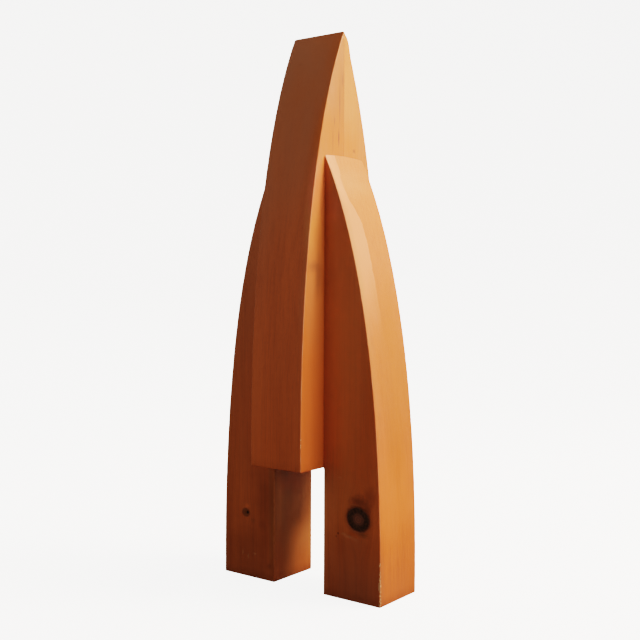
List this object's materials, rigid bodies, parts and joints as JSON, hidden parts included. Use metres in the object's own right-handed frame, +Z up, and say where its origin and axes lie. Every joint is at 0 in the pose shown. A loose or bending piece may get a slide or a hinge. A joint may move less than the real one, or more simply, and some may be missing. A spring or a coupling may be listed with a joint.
{
  "type": "timber abstract sculpture",
  "caption": "Standing timber sculpture of glued half-arch blocks: a tall pointed fin held off the floor between lower legs.",
  "frame": {"origin": "on the floor, under the middle of the fin", "axes": "+Z up, +X from the fin toward the leg glued to its right side, +Y from the fin's front half to its back half"},
  "size_m": [0.2838, 0.1934, 0.7946],
  "materials": {
    "fin_front_wood": "planed softwood, thin satin oil",
    "fin_back_wood": "planed softwood, thin satin oil, a shade yellower",
    "leg_right_wood": "planed softwood, thin satin oil, one round knot",
    "leg_left_wood": "planed softwood, thin satin oil, small pin knot"
  },
  "bodies": {
    "root": {"fin_front": "fin_front_wood", "fin_back": "fin_back_wood", "leg_right": "leg_right_wood", "leg_left": "leg_left_wood"}
  },
  "joints": []
}
